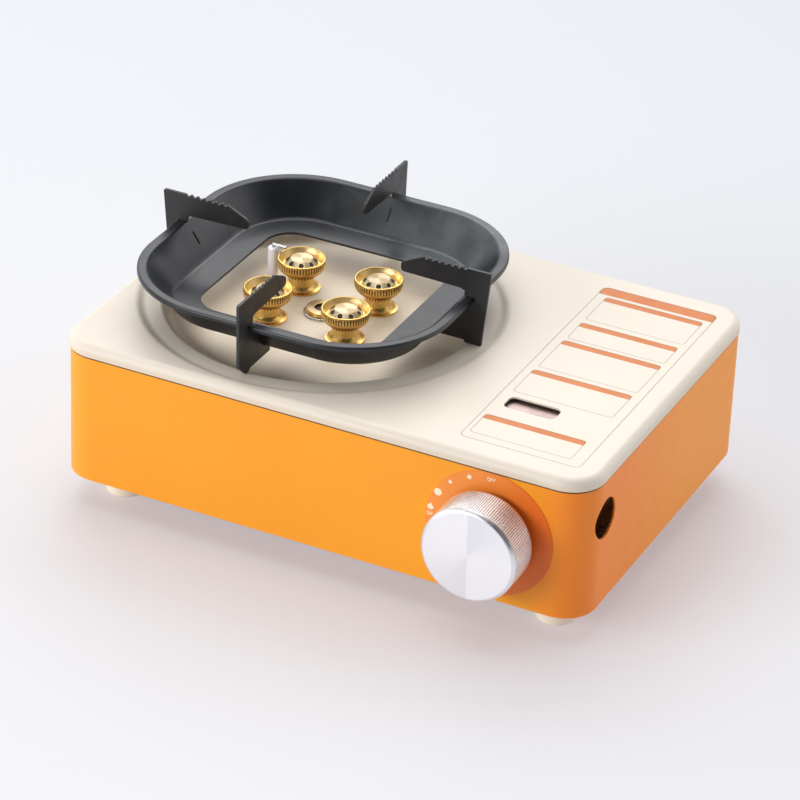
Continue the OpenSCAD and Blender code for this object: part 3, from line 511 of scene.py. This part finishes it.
class Lathe:
    """Collects turned strips about Z. Each strip is smooth in itself and sharp against the next."""

    def __init__(self, seg):
        self.seg, self.verts, self.faces, self.tags = seg, [], [], []

    def ring(self, r, z, shift=0.0, seg=None, wave=None, depth=0):
        """Points round the axis; returns their numbers."""
        first, seg = len(self.verts), seg or self.seg
        for i in range(seg):
            a = 2 * math.pi * (i + shift) / seg
            x, y = on_circle(r - depth * wave(a) if depth else r, a)
            self.verts.append((x * MM, y * MM, z * MM))
        return list(range(first, first + seg))

    def face(self, corners, mat):
        self.faces.append(corners)
        self.tags.append(mat)

    def strip(self, points, mat=0, wave=None):
        """points are (radius, height) or (radius, height, depth of the wave) in mm."""
        rings = []
        for r, z, *depth in points:
            if r < 1e-6:
                rings.append([len(self.verts)])
                self.verts.append((0, 0, z * MM))
            else:
                rings.append(self.ring(r, z, wave=wave, depth=depth[0] if depth else 0))
        for lo, hi in zip(rings, rings[1:]):
            for i in range(self.seg):
                j = (i + 1) % self.seg
                if len(lo) == 1:
                    self.face((lo[0], hi[j], hi[i]), mat)
                elif len(hi) == 1:
                    self.face((lo[i], lo[j], hi[0]), mat)
                else:
                    self.face((lo[i], lo[j], hi[j], hi[i]), mat)


def knob():
    """Knurled side, polished chamfer, turned face, hollow back. Z is 0 at the back."""
    face, knurl = 1, 2  # numbers of its materials, after the plain metal
    r, l = KNOB_D / 2, KNOB_L
    chamfer, land, wall = 1.9, 0.5, 3.5
    hub, bore, bore_end = 9, 4.1, l - 6
    rim, rim_z = r - 0.05, l - 1.7
    low, tip = r - KNURL_DEPTH, r - 0.02
    z1, z0 = l - 1.8 - land, 1.0  # ends of the knurl
    inside, roof = r - wall, l - wall
    face_z = l - 0.02
    t = Lathe(2 * KNURL_N)
    t.strip([(0, face_z), (r - chamfer - 6, face_z), (r - chamfer, l)], face)
    t.strip([(r - chamfer, l), (r - chamfer + 0.5, l - 0.18), (r - 0.35, l - 1.25), (rim, rim_z)])
    t.strip([(rim, rim_z), (rim, rim_z - land), (low, z1)])
    t.strip([(low, z0), (r - 0.3, 0.6), (r - 0.6, 0), (inside, 0)])
    t.strip([(inside, 0), (inside, roof)])
    t.strip([(inside, roof), (hub, roof)])
    t.strip([(hub, roof), (hub, 0)])
    t.strip([(hub, 0), (bore, 0)])
    t.strip([(bore, 0), (bore, bore_end), (0, bore_end)])
    # diamond pyramids
    dz = (z1 - z0) / KNURL_ROWS
    bottoms = [t.ring(low, z0 + k * dz, seg=KNURL_N) for k in range(KNURL_ROWS + 1)]
    tips = [t.ring(tip, z0 + (k + 0.5) * dz, 0.5, KNURL_N) for k in range(KNURL_ROWS)]
    for below, above, row in zip(bottoms, bottoms[1:], tips):
        for i in range(KNURL_N):
            j = (i + 1) % KNURL_N
            c = [below[i], below[j], above[j], above[i]]
            for n in range(4):
                t.face((c[n], c[(n + 1) % 4], row[i]), knurl)
    mid = middle("knob")
    where = Vector((mid.x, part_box("knob")[1].y, mid.z))
    o = make("knob_turned", t.verts, t.faces, ["knob_metal", "knob_face", "knob_knurl"],
             where, (math.pi / 2, 0, 0), tags=t.tags)
    for f in o.data.polygons:
        if f.material_index == knurl:
            f.use_smooth = False
    stands_for(o, "knob", "knob")


HEAD_MATS = ["brass", "brass_face", "gas_bore", "brass_ribs", "brass_teeth", "brass_under",
             "brass_bowl"]
HOLE_SIDES = 20


def burner_head(name, turn):
    """Toothed ring, rounded underside, ribbed band, bowl, and a cone with gas holes on its flank.

    Z is 0 at the top of the lip. turn is the first hole's place, as a share of the pitch.
    """
    plain, face, bore, ribs, teeth, under, bowl = range(len(HEAD_MATS))
    r, depth = radius_depth(name)
    base = -depth
    band_low, band_high = -3.9, -1.25
    bowl_z = -4.5
    foot, top, cap = (r - 4.3, -2.5), (r - 6.9, -0.3), (r - 7.2, -0.14)  # of the cone
    t = Lathe(HEAD_RIBS * 8)
    t.strip([(5.2, base), (7.9, base), (8.2, base + 0.2)], plain)
    t.strip([(8.3, base + 0.2, 0.1), (8.75, base + 0.45, 0.5), (8.75, base + 1.15, 0.5),
             (8.4, base + 1.4, 0.1)], teeth, ribbed(RING_TEETH))
    t.strip([(8.3, base + 1.4), (9.1, base + 1.6), (10.1, base + 2.1), (11.1, base + 2.9),
             (r - 1.0, -6.1), (r - 0.5, -5.2), (r - 0.35, -4.6), (r - 0.4, -4.1)], under)
    t.strip([(r - 0.3, -4.15, 0.1), (r, band_low, 0.55), (r, band_high, 0.55),
             (r - 0.25, -0.95, 0.1)], ribs, ribbed(HEAD_RIBS))
    t.strip([(r - 0.3, -0.95), (r - 0.15, -0.7)], plain)
    t.strip(arc(r - 0.5, -0.45, 0.42, -40, 90, 6) + [(r - 0.8, -0.03)]
            + arc(r - 0.85, -0.25, 0.22, 90, 170, 2), plain)
    t.strip([(r - 1.1, -0.25), (r - 2.0, -3.4), (r - 2.6, bowl_z)], bowl)
    t.strip([(r - 2.6, bowl_z), (r - 3.2, -4.8), (r - 3.8, bowl_z)], bowl)
    t.strip([(r - 3.8, bowl_z), foot], plain)
    t.strip([foot, top, cap], face)
    t.strip([cap, (0, -0.12)], face)
    # each gas hole is a disc painted dark, as painted shade for the hole, on a wider disc of the
    # paler bowl brass as a painted highlight round it, just off the flank
    slope = math.atan2(top[1] - foot[1], foot[0] - top[0])
    for i in range(GAS_HOLES):
        a = 2 * math.pi * (i + turn) / GAS_HOLES
        mid = Vector((*on_circle(r - 5.6, a), -1.4))
        up = Vector((*on_circle(math.sin(slope), a), math.cos(slope)))
        side = Vector((-math.sin(a), math.cos(a), 0))
        rise = up.cross(side)
        for rad, lift, mat in ((1.45, 0.16, bore), (1.75, 0.1, bowl)):
            c = len(t.verts)
            t.verts.append((mid + up * lift) * MM)
            for k in range(HOLE_SIDES):
                b = 2 * math.pi * k / HOLE_SIDES
                edge = (side * math.cos(b) + rise * math.sin(b)) * rad
                t.verts.append((mid + up * lift + edge) * MM)
            for k in range(HOLE_SIDES):
                t.face((c, c + 1 + k, c + 1 + (k + 1) % HOLE_SIDES), mat)
    o = make(name + "_turned", t.verts, t.faces, HEAD_MATS, top_middle(name), tags=t.tags)
    stands_for(o, name, "stove")


def centre_plug():
    """Turned plug between the heads: rounded edge, pale face, and an open socket painted dark
    inside as shade.
    """
    plain, face, socket_shade = range(3)  # numbers of its materials
    r, depth = radius_depth("centre_plug")
    socket, socket_z, shank, head = 4.4, -1.6, 3.0, -2.2
    t = Lathe(96)
    t.strip([(0, -depth), (shank, -depth)])
    t.strip([(shank, -depth), (shank, head)])
    t.strip([(shank, head), (r - 0.25, head)])
    t.strip([(r - 0.25, head), (r, head + 0.25), (r, head + 0.7), (r - 0.3, head + 1.0)])
    t.strip([(r - 0.3, head + 1.0)] + arc(r - 1.2, -0.9, 0.9, 10, 90, 5))
    t.strip([(r - 1.2, 0), (socket + 0.3, 0)], face)
    t.strip([(socket + 0.3, 0), (socket, -0.2)], plain)
    # painted shade: the socket's wall and floor take the dark bore material, for the shade of its
    # hollow
    t.strip([(socket, -0.2), (socket - 0.1, socket_z)], socket_shade)
    t.strip([(socket - 0.1, socket_z), (0, socket_z)], socket_shade)
    o = make("centre_plug_turned", t.verts, t.faces, ["brass", "brass_face", "bore_soot"],
             top_middle("centre_plug"), tags=t.tags)
    stands_for(o, "centre_plug", "stove")


knob()
for corner, turn in (("fl", 0.56), ("fr", 0.06), ("rl", 0.56), ("rr", 0.56)):
    burner_head("burner_head_" + corner, turn)
centre_plug()

# ---------- printed marks ----------

PRINT_T = 0.02  # mm that the print stands off its surface


class Print:
    """Flat shapes in mm on one plane, joined in one thin piece."""

    def __init__(self):
        self.verts, self.faces, self.tags = [], [], []

    def shape(self, points):
        c = len(self.verts)
        self.verts += list(points)
        self.faces.append(tuple(range(c, len(self.verts))))
        self.tags.append(0)

    def disc(self, x, y, r, n=24):
        turns = [2 * math.pi * i / n for i in range(n)]
        self.shape([(x + r * math.cos(a), y + r * math.sin(a)) for a in turns])

    def line(self, a, b, w):
        d = Vector(b) - Vector(a)
        n = Vector((-d.y, d.x)).normalized() * w / 2
        self.shape([tuple(Vector(p) + s * n) for p, s in ((a, -1), (b, -1), (b, 1), (a, 1))])

    def loop(self, points, w, mat=0):
        """Closed outline of width w, as a band of quads."""
        n = len(points)
        c = len(self.verts)
        for i in range(n):
            p, q = Vector(points[i - 1]), Vector(points[(i + 1) % n])
            d = (q - p).normalized()
            off = Vector((-d.y, d.x)) * w / 2
            self.verts += [tuple(Vector(points[i]) - off), tuple(Vector(points[i]) + off)]
        for i in range(n):
            a, b = c + 2 * i, c + 2 * ((i + 1) % n)
            self.faces.append((a, b, b + 1, a + 1))
            self.tags.append(mat)

    def place(self, name, mats, origin, up, out):
        """On the stove, with x to the right, y along up, and facing out."""
        verts = [origin + (RIGHT * x + up * y + out * PRINT_T) * MM for x, y in self.verts]
        o = make(name, verts, self.faces, mats, smooth=False, tags=self.tags)
        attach(o, "stove")


def head_arcs(x0, x1, y1, r, n):
    """The two top corners of a rounded rectangle."""
    return arc(x1 - r, y1 - r, r, 0, 90, n) + arc(x0 + r, y1 - r, r, 90, 180, n)


def rounded(x0, y0, x1, y1, r, n=6):
    return (head_arcs(x0, x1, y1, r, n)
            + arc(x0 + r, y0 + r, r, 180, 270, n) + arc(x1 - r, y0 + r, r, 270, 360, n))


MARK_W = 0.34  # mm, stroke of the letters on the dial
LETTER_H, LETTER_W, PITCH = 2.1, 1.25, 1.7  # mm
# A flame's outline from its foot, as shares of its height: right side up, then left side down
FLAME = ((0, 0), (0.26, 0.04), (0.42, 0.2), (0.44, 0.4), (0.34, 0.58), (0.3, 0.46), (0.2, 0.66),
         (0.05, 1.0), (-0.16, 0.74), (-0.32, 0.56), (-0.44, 0.34), (-0.38, 0.14), (-0.2, 0.02))


def flame(p, x, y, h):
    """Flame of height h with its foot at (x, y)."""
    p.shape([(x + a * h, y + b * h) for a, b in FLAME])


def letter_o(p, x, y, w, h):
    turns = [a * math.pi / 8 for a in range(16)]
    p.loop([(x + w / 2 * math.cos(a), y + h / 2 * math.sin(a)) for a in turns], MARK_W)


def letter_f(p, x, y, w, h):
    left, right, low, high, arm = x - w / 2, x + w / 2, y - h / 2, y + h / 2, y + 0.05 * h
    p.line((left, low), (left, high), MARK_W)
    p.line((left, high - MARK_W / 2), (right, high - MARK_W / 2), MARK_W)
    p.line((left, arm), (x + w / 2 * 0.7, arm), MARK_W)


def letter_n(p, x, y, w, h):
    left, right, low, high = x - w / 2, x + w / 2, y - h / 2, y + h / 2
    p.line((left, low), (left, high), MARK_W)
    p.line((right, low), (right, high), MARK_W)
    p.line((left, high), (right, low), MARK_W)


def dial_marks():
    """OFF and ON, dots and flames for low and high, at angles and mm from the knob's axis."""
    def on_dial(angle, r):
        return on_circle(r, math.radians(angle))

    p = Print()
    h, w = LETTER_H, LETTER_W
    x, y = on_dial(89.5, 30.9)
    letter_o(p, x - PITCH, y, w, h)
    letter_f(p, x, y, w * 0.8, h)
    letter_f(p, x + PITCH * 0.9, y, w * 0.8, h)
    p.disc(*on_dial(112.3, 31.4), 1.2)
    x, y = on_dial(133.3, 32.2)
    flame(p, x, y - 1.2, 2.5)
    p.disc(*on_dial(151.5, 32.5), 2.1)
    x, y = on_dial(168.8, 32.9)
    flame(p, x, y - 2.0, 4.0)
    x, y = on_dial(176.6, 32.6)
    letter_o(p, x - PITCH / 2, y, w, h)
    letter_n(p, x + PITCH / 2, y, w * 0.8, h)
    axis = middle("knob")
    origin = Vector((axis.x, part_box("dial_plate")[0].y, axis.z))
    p.place("dial_marks", ["print_cream"], origin, UP, FRONT)


# Plain printed panel on the lid: a thin outline, framed fields and bare colour bars.
# Boxes are x0, y0, x1, y1 in body-centred mm.
PANEL, PANEL_R = (72.4, -90, 137.6, 89.5), 3.5
HEAD_BAR_H = 8
FIELDS = ((78.0, 51.5, 133.6, 79.0), (78.0, 28.0, 132.8, 47.0), (77.6, -7.0, 132.8, 25.0),
          (77.0, -36.5, 132.0, -10.8), (75.2, -84.0, 130.4, -64.2))
FIELD_R, BAR_H = 2.0, 4.6
LINE_W = 0.38


def panel():
    lines = 1  # number of their material, after that of the bars
    p = Print()
    x0, y0, x1, y1 = PANEL
    p.loop(rounded(*PANEL, PANEL_R), LINE_W, lines)
    p.shape([(x1, y1 - HEAD_BAR_H), (x1, y1 - PANEL_R)] + head_arcs(x0, x1, y1, PANEL_R, 6)
            + [(x0, y1 - HEAD_BAR_H)])
    for x0, y0, x1, y1 in FIELDS:
        p.loop(rounded(x0, y0, x1, y1, FIELD_R), LINE_W * 0.8, lines)
        p.shape([(x1, y1 - BAR_H)] + head_arcs(x0, x1, y1, FIELD_R, 5) + [(x0, y1 - BAR_H)])
    p.place("lid_print", ["print_orange", "print_line"], at(0, 0, LID_Z), Vector((0, 1, 0)), UP)


dial_marks()
panel()

# ---------- floor and light ----------

FLOOR_HALF = 5.0  # m


def stage_floor():
    """Pale paper with a painted glow, more in front than behind, that lifts the shadows on it and
    warms them.
    """
    s = FLOOR_HALF
    m = Mat("floor_paper")
    m.set(Base_Color=m.mix(m.noise(3, 2), (0.4, 0.465, 0.5, 1), (0.42, 0.485, 0.52, 1)))
    # painted light: a warm glow that lifts and warms the floor's shadows, over a cooler base colour
    m.set(Roughness=0.7, Specular_IOR_Level=0.1, Emission_Color=(1, 0.79, 0.77, 1),
          Emission_Strength=m.span(m.xyz()[1], -0.6, 0.7, 0.41, 0.27, False))
    M["floor_paper"] = m
    corners = [(-s, -s, 0), (s, -s, 0), (s, s, 0), (-s, s, 0)]
    o = make("floor", corners, [(0, 1, 2, 3)], ["floor_paper"], smooth=False)


LIGHT_AIM = Vector((0, 0, 0.05))  # m, in the body of the stove
# name: direction from the stove, distance, width and height in m, power in W, colour
LIGHTS = {
    "key": ((-0.35, 0.8, 0.92), 2.0, 1.7, 1.3, 20.5, (1, 1, 1)),
    "front": ((-0.6, -1.0, 0.45), 2.2, 1.5, 0.6, 28, (1, 0.985, 0.965)),
    "top": ((-0.1, -0.1, 1.0), 1.9, 1.6, 1.6, 9.5, (1, 1, 1)),
}


def area_light(name, direction, distance, wide, high, power, colour):
    """A soft box that faces the stove."""
    data = bpy.data.lights.new(name, "AREA")
    data.shape = "RECTANGLE"
    data.size, data.size_y = wide, high
    data.energy = power
    data.color = colour
    o = bpy.data.objects.new(name, data)
    bpy.context.scene.collection.objects.link(o)
    d = Vector(direction).normalized()
    o.location = LIGHT_AIM + d * distance
    o.rotation_euler = (-d).to_track_quat("-Z", "Y").to_euler()


# Soft patches of the tent: direction, half angle in degrees, gain over the level round them
PATCHES = (
    ((0.62, -0.66, 0.36), 56, -0.9),  # dark gap, right of the camera
    ((-0.2, -0.72, 0.66), 38, -0.75),  # dark gap, above the camera
    ((-0.97, 0.15, 0.15), 40, 0.8),  # bright, left
    ((0.8, 0.6, 0.2), 46, 1.4),  # bright, behind on the right
)


def studio():
    """White tent of light, slightly dimmer overhead, with the soft patches."""
    world = bpy.data.worlds.new("studio")
    world.use_nodes = True
    n = Nodes(world.node_tree)
    way = n.add("ShaderNodeTexCoord").outputs["Generated"]
    level = n.span(n.split(way)[2], 0.1, 0.6, 0.72, 0.65)
    for direction, wide, gain in PATCHES:
        edge, core = (math.cos(math.radians(v)) for v in (wide, wide * 0.45))
        near = n.span(n.dot(way, direction), edge, core)
        level = n.math("MULTIPLY", level, n.math("MULTIPLY_ADD", near, gain, 1.0))
    bg = world.node_tree.nodes["Background"]
    n.put(bg.inputs[0], (0.985, 0.985, 1.0, 1))
    n.put(bg.inputs[1], level)
    bpy.context.scene.world = world
    bpy.context.scene.view_settings.view_transform = "Standard"


stage_floor()
for name, row in LIGHTS.items():
    area_light(name, *row)
studio()
